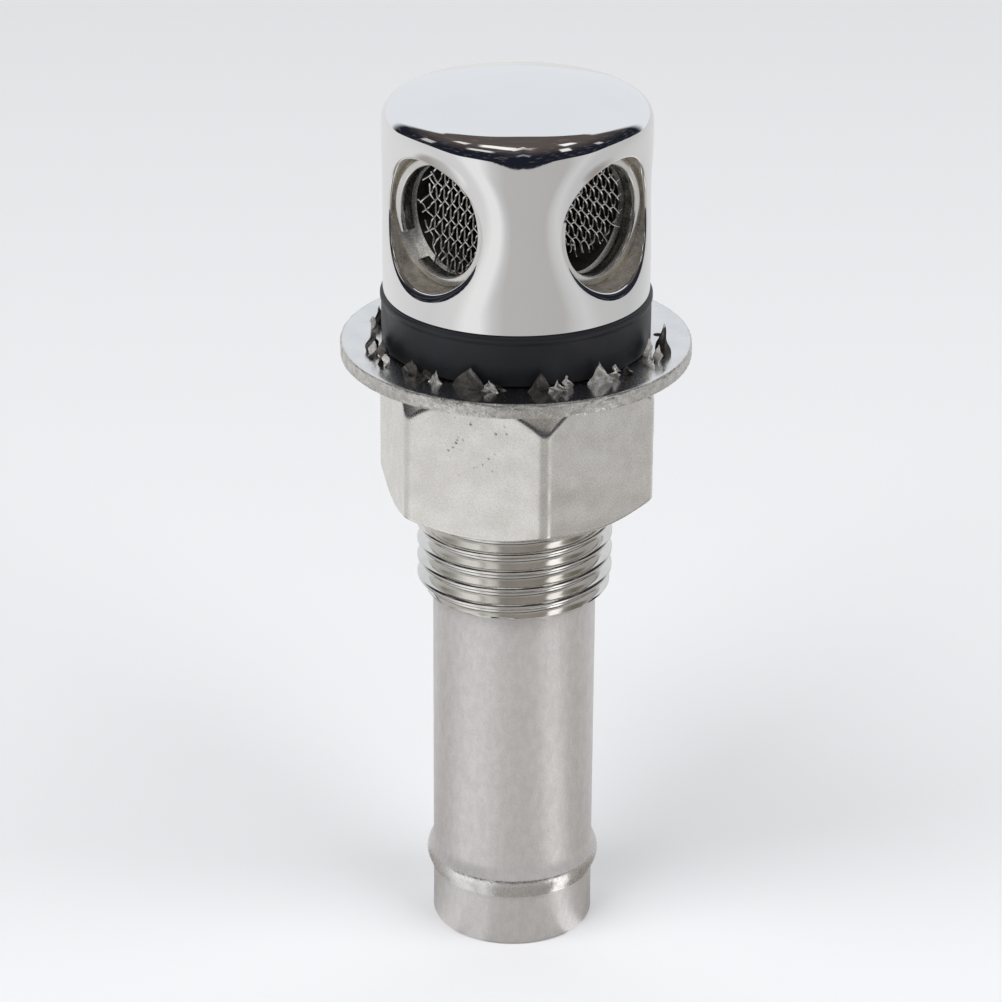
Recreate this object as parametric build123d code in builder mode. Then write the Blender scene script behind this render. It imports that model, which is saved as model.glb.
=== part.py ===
from build123d import *
import os
from math import cos, radians, sin, sqrt

# Boat vent fitting: a hose tail with a threaded shank, a polished vented cap with two
# screened ports, a gasket, a toothed washer and a hex nut that clamp it in a hull.
# Millimetres, +Z up. The origin is the centre of the hose tail's foot.

# Hose tail
tail_r = 8.0
passage_r = 6.2
foot_round = 0.3
bead_r = 8.65
bead_z = 7.0
bead_height = 3.5

# Threaded shank
thread_r = 9.525
thread_pitch = 25.4 / 14
thread_depth = 1.1
thread_crest = 0.4
thread_start_z = 36.6
thread_lead_in = 0.9
collar_height = 1.2
spigot_r = 8.0
spigot_height = 1.35

# Clamped stack: nut, toothed washer and gasket, from the bottom up
nut_bottom_z = 46.5
nut_height = 14.65
nut_flats = 24.3
nut_turned = 11.64
nut_top_face_r = 11.9
nut_top_bevel = 3.45
nut_bottom_face_r = 12.0
nut_bottom_bevel = 1.2
nut_bore_bevel = 0.7
washer_thickness = 1.45
washer_r = 16.84
gasket_height = 5.04
gasket_overhang = 0.3
gasket_round = 0.3

# Washer prongs, punched up around the gasket
prong_count = 13
prong_clearance = 0.25
prong_first_azimuth = 10.5
prong_hole_r = 0.85
prong_width = 1.6
prong_thickness = 0.4
prong_tall = 1.7
prong_short = 0.9
prong_root = 0.3

# Cap
cap_r = 12.7
cap_edge_height = 18.36
cap_height = 20.26
cap_rim_round = 2.0
cap_foot_round = 0.25
chamber_height = 15.6

# Ports
port_middle = 2.15
port_spacing = 98.3
port_rise = 9.0
port_r = 6.35
port_lip_round = 0.3
scoop_depth = 2.35
scoop_half_height = 7.6
scoop_blend = 1.2

# Retaining rings and screens
ring_r = 5.76
ring_wall = 0.54
ring_thickness = 1.56
ring_sunk = 0.33
ring_proud = 0.3
ring_round = 0.25
ring_slit = 2.6
ring_slit_angles = {"left": 223.0, "right": 150.0}
shoulder_overlap = 0.45
wire_r = 0.125
wire_pitch = 1.0
wire_slope = 45.0
screen_r = 5.5

# Clearances
nut_clearance = 0.08
washer_clearance = 0.32
seat_clearance = 0.02

# Places worked out from the sizes above
washer_bottom_z = nut_bottom_z + nut_height
gasket_bottom_z = washer_bottom_z + washer_thickness
cap_bottom_z = gasket_bottom_z + gasket_height
cap_edge_z = cap_bottom_z + cap_edge_height
cap_top_z = cap_bottom_z + cap_height
spigot_top_z = cap_bottom_z + spigot_height
thread_end_z = cap_bottom_z - collar_height
root_r = thread_r - thread_depth
port_z = cap_bottom_z + port_rise
dome_r = (cap_r**2 + (cap_top_z - cap_edge_z) ** 2) / (2 * (cap_top_z - cap_edge_z))
scoop_plane = cap_r - scoop_depth
scoop_r = (scoop_half_height**2 + scoop_depth**2) / (2 * scoop_depth)
port_azimuths = {"left": port_middle - port_spacing / 2, "right": port_middle + port_spacing / 2}
ring_face = scoop_plane - ring_sunk
ring_back = ring_face - ring_thickness
port_floor = ring_face - ring_proud
wire_count = 2 * int((screen_r - 2 * wire_r) / wire_pitch) + 1
screen_thickness = 4 * wire_r + seat_clearance
shoulder_face = ring_back - screen_thickness - 2 * seat_clearance
ring_outer_r = ring_r - seat_clearance
ring_bore_r = ring_outer_r - ring_wall
gasket_r = cap_r + gasket_overhang
prong_circle_r = gasket_r + prong_clearance + prong_hole_r
reach = 2 * cap_r

os.makedirs("parts", exist_ok=True)


def outward(azimuth):
    """Unit direction in the horizontal plane: 0 degrees faces -Y, 90 degrees faces +X."""
    return Vector(sin(radians(azimuth)), -cos(radians(azimuth)), 0)


def sideways(azimuth):
    """Unit direction to the right of someone who looks at that azimuth's face."""
    return Vector(cos(radians(azimuth)), sin(radians(azimuth)), 0)


def port_plane(azimuth, height, distance):
    """Plane square to a port's axis, at a distance from the fitting's axis."""
    centre = outward(azimuth) * distance + Vector(0, 0, height)
    return Plane(origin=centre, x_dir=sideways(azimuth), z_dir=outward(azimuth))


def save(part, name):
    part.label = name
    export_step(part, f"parts/{name}.step")


# Body: hose tail, bead, threaded shank and the spigot that holds the cap.
# The thread is modelled as level ridges at the thread's pitch, without its helix.
with BuildPart() as body:
    ridges = []
    ridge_z = thread_start_z
    while ridge_z < thread_end_z - thread_pitch:
        ridges.append((root_r, ridge_z))
        ridges.append((thread_r, ridge_z + (thread_pitch - thread_crest) / 2))
        ridges.append((thread_r, ridge_z + (thread_pitch + thread_crest) / 2))
        ridge_z += thread_pitch
    ridges += [(root_r, ridge_z), (root_r, thread_end_z), (0, thread_end_z)]
    with BuildSketch(Plane.XZ):
        with BuildLine():
            Polyline((0, thread_start_z), *ridges, close=True)
        make_face()
    revolve(axis=Axis.Z)
    with BuildSketch(Plane.XZ):
        with BuildLine():
            Polyline(
                (0, thread_start_z),
                (thread_r - thread_lead_in, thread_start_z),
                (thread_r, thread_start_z + thread_lead_in),
                (thread_r, thread_end_z),
                (0, thread_end_z),
                close=True,
            )
        make_face()
    revolve(axis=Axis.Z, mode=Mode.INTERSECT)
    with BuildSketch(Plane.XZ):
        with BuildLine():
            Polyline(
                (tail_r, bead_z - bead_height / 2),
                (tail_r, foot_round),
                (tail_r - foot_round, 0),
                (0, 0),
                (0, thread_start_z),
                (tail_r, thread_start_z),
                (tail_r, bead_z + bead_height / 2),
            )
            ThreePointArc(
                (tail_r, bead_z + bead_height / 2),
                (bead_r, bead_z),
                (tail_r, bead_z - bead_height / 2),
            )
        make_face()
    revolve(axis=Axis.Z)
    with BuildSketch(Plane.XY.offset(thread_end_z)):
        Circle(thread_r)
    extrude(amount=collar_height)
    with BuildSketch(Plane.XY.offset(cap_bottom_z)):
        Circle(spigot_r)
    extrude(amount=spigot_height)
    with BuildSketch(Plane.XY):
        Circle(passage_r)
    extrude(amount=spigot_top_z, mode=Mode.SUBTRACT)

save(body.part, "vent_body")


# Cap: domed polished head, hollow, with two ports in softly blended scoops
with BuildPart() as cap:
    with BuildSketch(Plane.YZ) as cap_profile:
        with BuildLine():
            dome_drop = dome_r - sqrt(dome_r**2 - (cap_r / 2) ** 2)
            Polyline((0, cap_top_z), (0, cap_bottom_z), (cap_r, cap_bottom_z), (cap_r, cap_edge_z))
            ThreePointArc((cap_r, cap_edge_z), (cap_r / 2, cap_top_z - dome_drop), (0, cap_top_z))
        make_face()
        outer_corners = cap_profile.vertices().group_by(Axis.X)[-1].sort_by(Axis.Y)
        fillet(outer_corners[-1], cap_rim_round)
        fillet(outer_corners[0], cap_foot_round)
    revolve(axis=Axis.Z)
    for azimuth in port_azimuths.values():
        centre = outward(azimuth) * (scoop_plane + scoop_r) + Vector(0, 0, port_z)
        with BuildSketch(Plane(origin=centre, x_dir=(0, 0, 1), z_dir=sideways(azimuth))):
            Circle(scoop_r)
        extrude(amount=cap_r, both=True, mode=Mode.SUBTRACT)
        fillet(cap.edges(Select.LAST), scoop_blend)
    for azimuth in port_azimuths.values():
        with BuildSketch(port_plane(azimuth, port_z, port_floor)):
            Circle(port_r)
        extrude(amount=reach, mode=Mode.SUBTRACT)
        lip = cap.edges(Select.LAST).sort_by(Axis(origin=(0, 0, 0), direction=outward(azimuth)))[-1]
        fillet(lip, port_lip_round)
    for azimuth in port_azimuths.values():
        with BuildSketch(port_plane(azimuth, port_z, shoulder_face)):
            Circle(ring_r)
        extrude(amount=reach, mode=Mode.SUBTRACT)
        with BuildSketch(port_plane(azimuth, port_z, 0)):
            Circle(ring_r - shoulder_overlap)
        extrude(amount=reach, mode=Mode.SUBTRACT)
    with BuildSketch(Plane.XY.offset(cap_bottom_z)):
        Circle(passage_r)
    extrude(amount=chamber_height, mode=Mode.SUBTRACT)
    with BuildSketch(Plane.XY.offset(cap_bottom_z)):
        Circle(spigot_r + seat_clearance)
    extrude(amount=spigot_height, mode=Mode.SUBTRACT)

save(cap.part, "vent_cap")


# Retaining rings: split rings that hold the screens against the shoulders in the ports
for side, azimuth in port_azimuths.items():
    with BuildPart() as ring:
        with BuildSketch(port_plane(azimuth, port_z, ring_back)):
            Circle(ring_outer_r)
            Circle(ring_bore_r, mode=Mode.SUBTRACT)
        extrude(amount=ring_face - ring_back)
        front = ring.faces().sort_by(Axis(origin=(0, 0, 0), direction=outward(azimuth)))[-1]
        fillet(front.edges(), ring_round)
        slit_angle = ring_slit_angles[side]
        slit_direction = Vector(cos(radians(slit_angle)), sin(radians(slit_angle)))
        slit_centre = (ring_bore_r + ring_wall / 2) * slit_direction
        with BuildSketch(port_plane(azimuth, port_z, ring_back)):
            with Locations(Location(slit_centre, slit_angle)):
                Rectangle(2 * ring_wall, ring_slit)
        extrude(amount=ring_face - ring_back, mode=Mode.SUBTRACT)
    save(ring.part, f"port_ring_{side}")


# Screens: two crossed layers of straight wires in each port
for side, azimuth in port_azimuths.items():
    with BuildPart() as screen:
        for layer, slope in enumerate((wire_slope, wire_slope + 90)):
            wire_plane = shoulder_face + seat_clearance + wire_r + layer * (2 * wire_r + seat_clearance)
            along = sideways(azimuth) * cos(radians(slope)) + Vector(0, 0, sin(radians(slope)))
            across = sideways(azimuth) * -sin(radians(slope)) + Vector(0, 0, cos(radians(slope)))
            middle = outward(azimuth) * wire_plane + Vector(0, 0, port_z)
            for wire in range(wire_count):
                offset_from_middle = (wire - (wire_count - 1) / 2) * wire_pitch
                half_length = sqrt(screen_r**2 - offset_from_middle**2)
                start = middle + across * offset_from_middle - along * half_length
                with BuildSketch(Plane(origin=start, x_dir=across, z_dir=along)):
                    Circle(wire_r)
                extrude(amount=2 * half_length)
    save(screen.part, f"screen_{side}")


# Gasket: black rubber ring under the cap
with BuildPart() as gasket:
    with BuildSketch(Plane.XY.offset(gasket_bottom_z)):
        Circle(gasket_r)
    extrude(amount=gasket_height)
    fillet(gasket.edges().filter_by(GeomType.CIRCLE), gasket_round)
    with BuildSketch(Plane.XY.offset(gasket_bottom_z)):
        Circle(thread_r + seat_clearance)
    extrude(amount=gasket_height, mode=Mode.SUBTRACT)

save(gasket.part, "gasket")


# Toothed washer: a plate with torn prongs that stand around the gasket
with BuildPart() as washer:
    with BuildSketch(Plane.XY.offset(washer_bottom_z)):
        Circle(washer_r)
        Circle(thread_r + washer_clearance, mode=Mode.SUBTRACT)
    extrude(amount=washer_thickness)
    for place in range(prong_count):
        azimuth = prong_first_azimuth + place * 360 / prong_count
        hole_centre = outward(azimuth) * prong_circle_r + Vector(0, 0, washer_bottom_z)
        with BuildSketch(Plane(origin=hole_centre, z_dir=(0, 0, 1))):
            Circle(prong_hole_r)
        extrude(amount=washer_thickness, mode=Mode.SUBTRACT)
        for way, prong_height in ((-1, prong_tall), (1, prong_short)):
            prong_offset = way * (prong_hole_r + prong_thickness / 2)
            prong_foot = hole_centre + sideways(azimuth) * prong_offset + Vector(0, 0, washer_thickness)
            with BuildSketch(Plane(origin=prong_foot, x_dir=outward(azimuth), z_dir=-sideways(azimuth))):
                with BuildLine():
                    Polyline(
                        (-prong_width / 2, -prong_root),
                        (prong_width / 2, -prong_root),
                        (prong_width / 2, 0),
                        (0, prong_height),
                        (-prong_width / 2, 0),
                        close=True,
                    )
                make_face()
            extrude(amount=prong_thickness / 2, both=True)

save(washer.part, "toothed_washer")


# Nut: hexagon with a steep bevel on top and a small one below
with BuildPart() as nut:
    with BuildSketch(Plane.XY.offset(nut_bottom_z)):
        RegularPolygon(radius=nut_flats / 2, side_count=6, major_radius=False, rotation=nut_turned - 90)
    extrude(amount=nut_height)
    corner_r = nut_flats / sqrt(3)
    with BuildSketch(Plane.XZ):
        with BuildLine():
            Polyline(
                (0, nut_bottom_z),
                (nut_bottom_face_r, nut_bottom_z),
                (corner_r, nut_bottom_z + nut_bottom_bevel),
                (corner_r, washer_bottom_z - nut_top_bevel),
                (nut_top_face_r, washer_bottom_z),
                (0, washer_bottom_z),
                close=True,
            )
        make_face()
    revolve(axis=Axis.Z, mode=Mode.INTERSECT)
    with BuildSketch(Plane.XY.offset(nut_bottom_z)):
        Circle(thread_r + nut_clearance)
    extrude(amount=nut_height, mode=Mode.SUBTRACT)
    bore_edges = nut.edges().filter_by(GeomType.CIRCLE).filter_by(
        lambda edge: abs(edge.radius - thread_r - nut_clearance) < nut_clearance / 2
    )
    chamfer(bore_edges, nut_bore_bevel)

save(nut.part, "hex_nut")
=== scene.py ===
import bmesh
import bpy
import math
import numpy as np
from mathutils import Matrix, Vector


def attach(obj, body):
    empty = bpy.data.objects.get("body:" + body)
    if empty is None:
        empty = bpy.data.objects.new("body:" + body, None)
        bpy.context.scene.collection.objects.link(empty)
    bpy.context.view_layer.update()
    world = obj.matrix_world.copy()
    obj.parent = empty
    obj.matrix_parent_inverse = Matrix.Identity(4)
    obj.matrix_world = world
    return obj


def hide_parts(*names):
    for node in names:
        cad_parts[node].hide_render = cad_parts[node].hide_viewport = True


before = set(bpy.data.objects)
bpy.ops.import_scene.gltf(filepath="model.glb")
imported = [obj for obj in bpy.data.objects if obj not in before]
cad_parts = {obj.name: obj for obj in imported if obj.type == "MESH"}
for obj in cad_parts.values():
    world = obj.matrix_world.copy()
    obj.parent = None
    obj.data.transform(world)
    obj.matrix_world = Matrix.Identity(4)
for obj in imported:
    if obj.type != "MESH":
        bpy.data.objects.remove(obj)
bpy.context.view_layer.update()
print("frame loaded:", sorted(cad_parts))

# Boat vent fitting. Shapes are worked out in millimetres and go into the meshes in metres.
# Azimuth 0 faces the camera side (-Y) and 90 faces +X.


def newMaterial(name):
    material = bpy.data.materials.new(name)
    material.use_nodes = True
    tree = material.node_tree
    tree.nodes.clear()
    return material, tree


def addNode(tree, kind, values=None, **settings):
    # values fills the node's inputs, by number or name, with a value or another node's output
    node = tree.nodes.new("ShaderNode" + kind)
    for key, value in settings.items():
        setattr(node, key, value)
    for key, value in (values or {}).items():
        if isinstance(value, bpy.types.NodeSocket):
            tree.links.new(value, node.inputs[key])
        else:
            node.inputs[key].default_value = value
    return node


def compute(tree, operation, *values):
    return addNode(tree, "Math", dict(enumerate(values)), operation=operation).outputs[0]


def softStep(tree, value, start, end, low=0.0, high=1.0):
    inputs = {0: value, 1: start, 2: end, 3: low, 4: high}
    return addNode(tree, "MapRange", inputs, interpolation_type="SMOOTHSTEP").outputs[0]


def mixColour(tree, factor, first, second):
    # a colour is three numbers or another node's output
    first, second = (shade if isinstance(shade, bpy.types.NodeSocket) else (*shade, 1) for shade in (first, second))
    return addNode(tree, "Mix", {0: factor, 6: first, 7: second}, data_type="RGBA").outputs[2]


def noise(tree, coords, scale, detail=3.0):
    return addNode(tree, "TexNoise", {"Vector": coords, "Scale": scale, "Detail": detail}).outputs[0]


def addObject(name, data):
    thing = bpy.data.objects.new(name, data)
    bpy.context.scene.collection.objects.link(thing)
    return thing


studio = {
    "floorSize": 6.0,
    "floorColour": (0.84, 0.85, 0.87, 1.0),
    "floorGlow": 0.10,
    "tableReach": 0.44,  # the white table ends here, towards the camera
    "tableEdge": 0.03,
    "nearReach": (0.098, 0.108),  # near tones give way to far ones between these distances
    "paintedFootShadow": (0.012, 0.04, 0.22, 0.0),  # painted shadow of the fitting in the mirrored table near the foot: two distances, two strengths
    "warmTones": (0.6, 0.35, 0.11, 0.24),  # tones below the first warm up; losses of green and blue
    "roomLow": (0.012, 0.014, 0.022),
    "roomHigh": (0.10, 0.082, 0.075),
    "roomRise": (0.35, 0.95),  # it lightens between these sines of the elevation
    "mottle": (0.16, 0.15, 0.15),
    "mottleScale": 9.0,
    "mottleRange": (0.52, 0.72, 0.0, 0.5),
    "patchEdge": (1.3, 0.7),  # a patch fades between these shares of its half size
    "backdrop": (0.76, 0.785, 0.82),
    "backdropSide": (0.50, 0.66),
    "backdropTop": (0.842, 0.824),
}
paintedReflectionTones = {
    # painted reflection: the table's tone as the metal mirrors it, by bearing from the fitting, with painted shade
    # wedges and painted highlight strips: 0 is the camera's side and 90 is +X
    "near": [(-180, 0.82), (-135, 0.82), (-120, 0.36), (-104, 0.36), (-85, 0.50), (-66, 1.0), (-50, 1.1),
             (-42, 0.62), (-34, 0.95), (-25, 0.85), (-18, 0.40), (-13, 0.38), (43, 0.34), (47, 1.6), (61, 1.6),
             (66, 0.42), (82, 0.22), (104, 0.30), (128, 0.66), (150, 0.82), (180, 0.82)],
    "far": [(-180, 0.76), (-130, 0.72), (-100, 0.66), (-79, 0.62), (-56, 0.66), (-44, 0.80), (-31, 0.80),
            (-20, 0.56), (-10, 0.47), (40, 0.45), (50, 0.54), (62, 0.61), (78, 0.53), (107, 0.52), (140, 0.64),
            (180, 0.74)],
}


def toneRamp(tree, position, stops):
    # a colour ramp round the compass; darker tones are warmer
    warmBelow, warmSpan, greenLoss, blueLoss = studio["warmTones"]
    node = addNode(tree, "ValToRGB", {0: position})
    elements = node.color_ramp.elements
    elements.remove(elements[1])
    for index, (bearing, tone) in enumerate(stops):
        place = bearing / 360 + 0.5
        element = elements.new(place) if index else elements[0]
        element.position = place
        warm = min(max((warmBelow - tone) / warmSpan, 0.0), 1.0) ** 2
        element.color = (tone, tone * (1 - greenLoss * warm), tone * (1 - blueLoss * warm), 1)
    return node.outputs[0]


def buildFloor():
    # a pale matt table; a mirrored ray sees a glow instead, a painted reflection with a tone for each bearing
    half = studio["floorSize"] / 2
    mesh = bpy.data.meshes.new("floor")
    mesh.from_pydata([(-half, -half, 0), (half, -half, 0), (half, half, 0), (-half, half, 0)], [], [(0, 1, 2, 3)])
    material, tree = newMaterial("studioFloor")
    path = addNode(tree, "LightPath")
    coords = addNode(tree, "TexCoord").outputs["Object"]
    across, away, _ = addNode(tree, "SeparateXYZ", {0: coords}).outputs
    distance = addNode(tree, "VectorMath", {0: coords}, operation="LENGTH").outputs["Value"]
    bearing = compute(tree, "ARCTAN2", across, compute(tree, "MULTIPLY", away, -1.0))
    bearing = compute(tree, "MULTIPLY_ADD", bearing, 0.5 / math.pi, 0.5)
    near, far = (toneRamp(tree, bearing, paintedReflectionTones[reach]) for reach in ("near", "far"))
    tone = mixColour(tree, softStep(tree, distance, *studio["nearReach"]), near, far)
    # painted shadow: the mirrored table darkens towards the fitting's foot
    tone = mixColour(tree, softStep(tree, distance, *studio["paintedFootShadow"]), tone, studio["roomLow"])
    end, edge = -studio["tableReach"], studio["tableEdge"]
    tone = mixColour(tree, softStep(tree, away, end + edge, end - edge), tone, studio["roomLow"])
    glow = compute(tree, "MULTIPLY", path.outputs["Is Camera Ray"], studio["floorGlow"])
    matte = addNode(tree, "BsdfDiffuse", {"Color": studio["floorColour"]})
    lit = addNode(tree, "Emission", {"Color": (1, 1, 1, 1), "Strength": glow})
    table = addNode(tree, "AddShader", {0: matte.outputs[0], 1: lit.outputs[0]})
    # painted reflection: mirrored rays see this glow, with its painted shade and highlights, instead of the lit
    # table
    mirrored = addNode(tree, "Emission", {"Color": tone, "Strength": 1.0})
    choice = {0: path.outputs["Is Glossy Ray"], 1: table.outputs[0], 2: mirrored.outputs[0]}
    addNode(tree, "OutputMaterial", {"Surface": addNode(tree, "MixShader", choice).outputs[0]})
    mesh.materials.append(material)
    floor = addObject("floor", mesh)


roomPatches = [
    # azimuth and elevation of a bright patch in the dark room, half sizes across and up, colour
    (-16, 58, 0.21, 0.085, (1.0, 0.98, 0.95)),
    (-66, 54, 0.10, 0.07, (0.8, 0.78, 0.75)),
    (56, 56, 0.11, 0.09, (1.0, 1.0, 1.0)),
    (-30, 36, 0.20, 0.07, (0.75, 0.74, 0.70)),
    (40, 34, 0.09, 0.12, (0.85, 0.84, 0.80)),
    (5, 27, 0.05, 0.07, (0.22, 0.23, 0.26)),
    (78, 30, 0.05, 0.08, (0.5, 0.5, 0.5)),
    (-85, 25, 0.10, 0.10, (0.5, 0.5, 0.5)),
]


def dotWith(tree, where, direction):
    return addNode(tree, "VectorMath", {0: where, 1: direction}, operation="DOT_PRODUCT").outputs["Value"]


def buildWorld():
    # a white backdrop behind, and a dark room with bright patches in front and overhead
    world = bpy.data.worlds.new("studioRoom")
    bpy.context.scene.world = world
    world.use_nodes = True
    tree = world.node_tree
    tree.nodes.clear()
    where = addNode(tree, "TexCoord").outputs["Generated"]
    _, away, up = addNode(tree, "SeparateXYZ", {0: where}).outputs
    level = compute(tree, "SUBTRACT", 1.0, compute(tree, "MULTIPLY", up, up))
    spread = compute(tree, "SQRT", compute(tree, "MAXIMUM", level, 0.0001))
    sideways = softStep(tree, compute(tree, "DIVIDE", away, spread), *studio["backdropSide"])
    behind = compute(tree, "MULTIPLY", sideways, softStep(tree, up, *studio["backdropTop"]))
    room = mixColour(tree, softStep(tree, up, *studio["roomRise"]), studio["roomLow"], studio["roomHigh"])
    mottle = softStep(tree, noise(tree, where, studio["mottleScale"]), *studio["mottleRange"])
    room = mixColour(tree, mottle, room, studio["mottle"])
    outer, inner = studio["patchEdge"]
    for azimuth, elevation, halfAcross, halfUp, colour in roomPatches:
        turn, lift = math.radians(azimuth), math.radians(elevation)
        ahead = Vector((math.sin(turn) * math.cos(lift), -math.cos(turn) * math.cos(lift), math.sin(lift)))
        side = Vector((math.cos(turn), math.sin(turn), 0))
        shares = []
        for axis, half in ((side, halfAcross), (ahead.cross(side), halfUp)):
            offset = compute(tree, "ABSOLUTE", dotWith(tree, where, axis))
            shares.append(softStep(tree, offset, half * outer, half * inner))
        facing = compute(tree, "GREATER_THAN", dotWith(tree, where, ahead), 0.5)
        inside = compute(tree, "MULTIPLY", compute(tree, "MULTIPLY", *shares), facing)
        room = mixColour(tree, inside, room, colour)
    seen = mixColour(tree, behind, room, studio["backdrop"])
    path = addNode(tree, "LightPath")
    sky = addNode(tree, "Background", {"Color": seen, "Strength": 1.0})
    white = addNode(tree, "Background", {"Color": (1, 1, 1, 1), "Strength": 1.0})
    pick = addNode(tree, "MixShader", {0: path.outputs["Is Camera Ray"], 1: sky.outputs[0], 2: white.outputs[0]})
    addNode(tree, "OutputWorld", {"Surface": pick.outputs[0]})


lampRows = [
    # name, place, aim, size in metres, power in watts
    ("keyLamp", (-0.6, -0.5, 1.0), (0, 0, 0.05), 0.9, 9.5),
    ("fillLamp", (0.7, -0.4, 0.8), (0, 0, 0.05), 0.9, 6.5),
]


def buildLamps():
    for name, place, target, size, power in lampRows:
        data = bpy.data.lights.new(name, "AREA")
        data.shape = "SQUARE"
        data.size = size
        data.energy = power
        lamp = addObject(name, data)
        lamp.location = place
        lamp.rotation_euler = (Vector(target) - Vector(place)).to_track_quat("-Z", "Y").to_euler()
        lamp.visible_glossy = False


cameraPlace = {
    "location": (-0.001352, -0.3251, 0.19286),
    "downTilt": 24.405,
    "roll": 0.311,
    "lens": 131.64,
    "sensor": 36,
    "clipStart": 0.01,
}


def buildCamera():
    tilt, roll = math.radians(cameraPlace["downTilt"]), math.radians(cameraPlace["roll"])
    ahead = Vector((0, math.cos(tilt), -math.sin(tilt)))
    right = Vector((1, 0, 0))
    up = right.cross(ahead)
    right, up = (math.cos(roll) * right + math.sin(roll) * up, -math.sin(roll) * right + math.cos(roll) * up)
    data = bpy.data.cameras.new("productCamera")
    data.lens = cameraPlace["lens"]
    data.sensor_width = cameraPlace["sensor"]
    data.clip_start = cameraPlace["clipStart"]
    camera = addObject("productCamera", data)
    turn = Matrix((right, up, -ahead)).transposed()
    camera.matrix_world = Matrix.Translation(cameraPlace["location"]) @ turn.to_4x4()
    bpy.context.scene.camera = camera


bpy.context.scene.view_settings.view_transform = "Standard"
buildFloor()
buildWorld()
buildLamps()
buildCamera()
print("studio ready")


def bumpFrom(tree, height, distance, below=None):
    # distance is the bump's height in millimetres
    values = {"Strength": 1.0, "Distance": distance * 0.001, "Height": height}
    if below:
        values["Normal"] = below
    return addNode(tree, "Bump", values).outputs[0]


def addMarks(tree, coords, colour, normal, marks):
    # faint dents in one place: the cells of a Voronoi pattern, kept only where a coarser noise is high
    cells = addNode(tree, "TexVoronoi", {"Vector": coords, "Scale": marks["scale"]}).outputs["Distance"]
    rare = softStep(tree, noise(tree, coords, marks["scale"] * 0.35, 2.0), *marks["rare"])
    apart = addNode(tree, "VectorMath", {0: coords, 1: marks["place"]}, operation="DISTANCE").outputs["Value"]
    rare = compute(tree, "MULTIPLY", rare, softStep(tree, apart, *marks["reach"]))
    cell = compute(tree, "SUBTRACT", 1.0, softStep(tree, cells, *marks["size"]))
    dent = compute(tree, "MULTIPLY", cell, rare)
    colour = mixColour(tree, dent, colour, marks["colour"])
    return colour, bumpFrom(tree, compute(tree, "MULTIPLY", dent, -1.0), marks["depth"], normal)


def metal(name, row):
    # steel: colour and roughness wander with two noises, fine grain and soft waves bend the normal
    finish = {**plainFinish, **dict(zip(finishKeys, row)), **finishExtras.get(name, {})}
    material, tree = newMaterial(name)
    coords = addNode(tree, "TexCoord").outputs["Object"]
    stretched = addNode(tree, "Mapping", {"Vector": coords, "Scale": finish["stretch"]}).outputs[0]
    drawn = addNode(tree, "Mapping", {"Vector": coords, "Scale": finish["drawn"]}).outputs[0]
    patches = noise(tree, drawn, finish["patchScale"], 4.0)
    grain = noise(tree, stretched, finish["grainScale"], 2.0)
    colour = mixColour(tree, softStep(tree, patches, 0.3, 0.7), finish["colour"], finish["second"])
    fine = softStep(tree, grain, 0.35, 0.65, 0.0, finish["grainTone"])
    colour = mixColour(tree, fine, colour, finish["grainColour"])
    rough = softStep(tree, grain, 0.25, 0.75, *finish["rough"])
    normal = bumpFrom(tree, grain, finish["grain"], bumpFrom(tree, patches, finish["wave"]))
    if "marks" in finish:
        colour, normal = addMarks(tree, coords, colour, normal, finish["marks"])
    shader = addNode(tree, "BsdfPrincipled", {"Base Color": colour, "Roughness": rough,
                                              "Metallic": finish["metallic"], "Normal": normal})
    addNode(tree, "OutputMaterial", {"Surface": shader.outputs[0]})
    return material


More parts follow.
